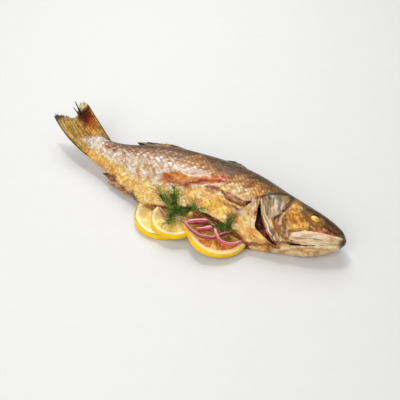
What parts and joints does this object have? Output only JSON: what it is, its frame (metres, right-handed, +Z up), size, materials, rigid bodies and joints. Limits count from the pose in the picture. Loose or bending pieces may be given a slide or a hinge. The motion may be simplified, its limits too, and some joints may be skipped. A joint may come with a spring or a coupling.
{
  "type": "whole roast sea bass",
  "caption": "Whole roast fish lying on its side, head and fins on, its gutted belly opened and filled with lemon slices, red onion and dill.",
  "frame": {"origin": "middle of the whole thing's footprint, on the surface that it lies on", "axes": "+X from the tail to the head, +Y from the belly to the back, +Z up out of the flank that shows"},
  "size_m": [0.3164, 0.1094, 0.0414],
  "materials": {
    "roast_fish_skin": "oily golden-brown roasted skin, dark on the back",
    "lemon": "wet cut flesh with waxy peel",
    "red_onion": "wet, slightly translucent",
    "dill": "fine dark green herb"
  },
  "bodies": {
    "root": {"fish": "roast_fish_skin", "lemon_slice_rear": "lemon", "lemon_slice_middle": "lemon", "lemon_slice_front": "lemon", "onion_ring_large": "red_onion", "onion_ring_small": "red_onion", "onion_wedge": "red_onion", "onion_strip": "red_onion", "onion_petal": "red_onion", "dill_large": "dill", "dill_small": "dill"}
  },
  "joints": []
}
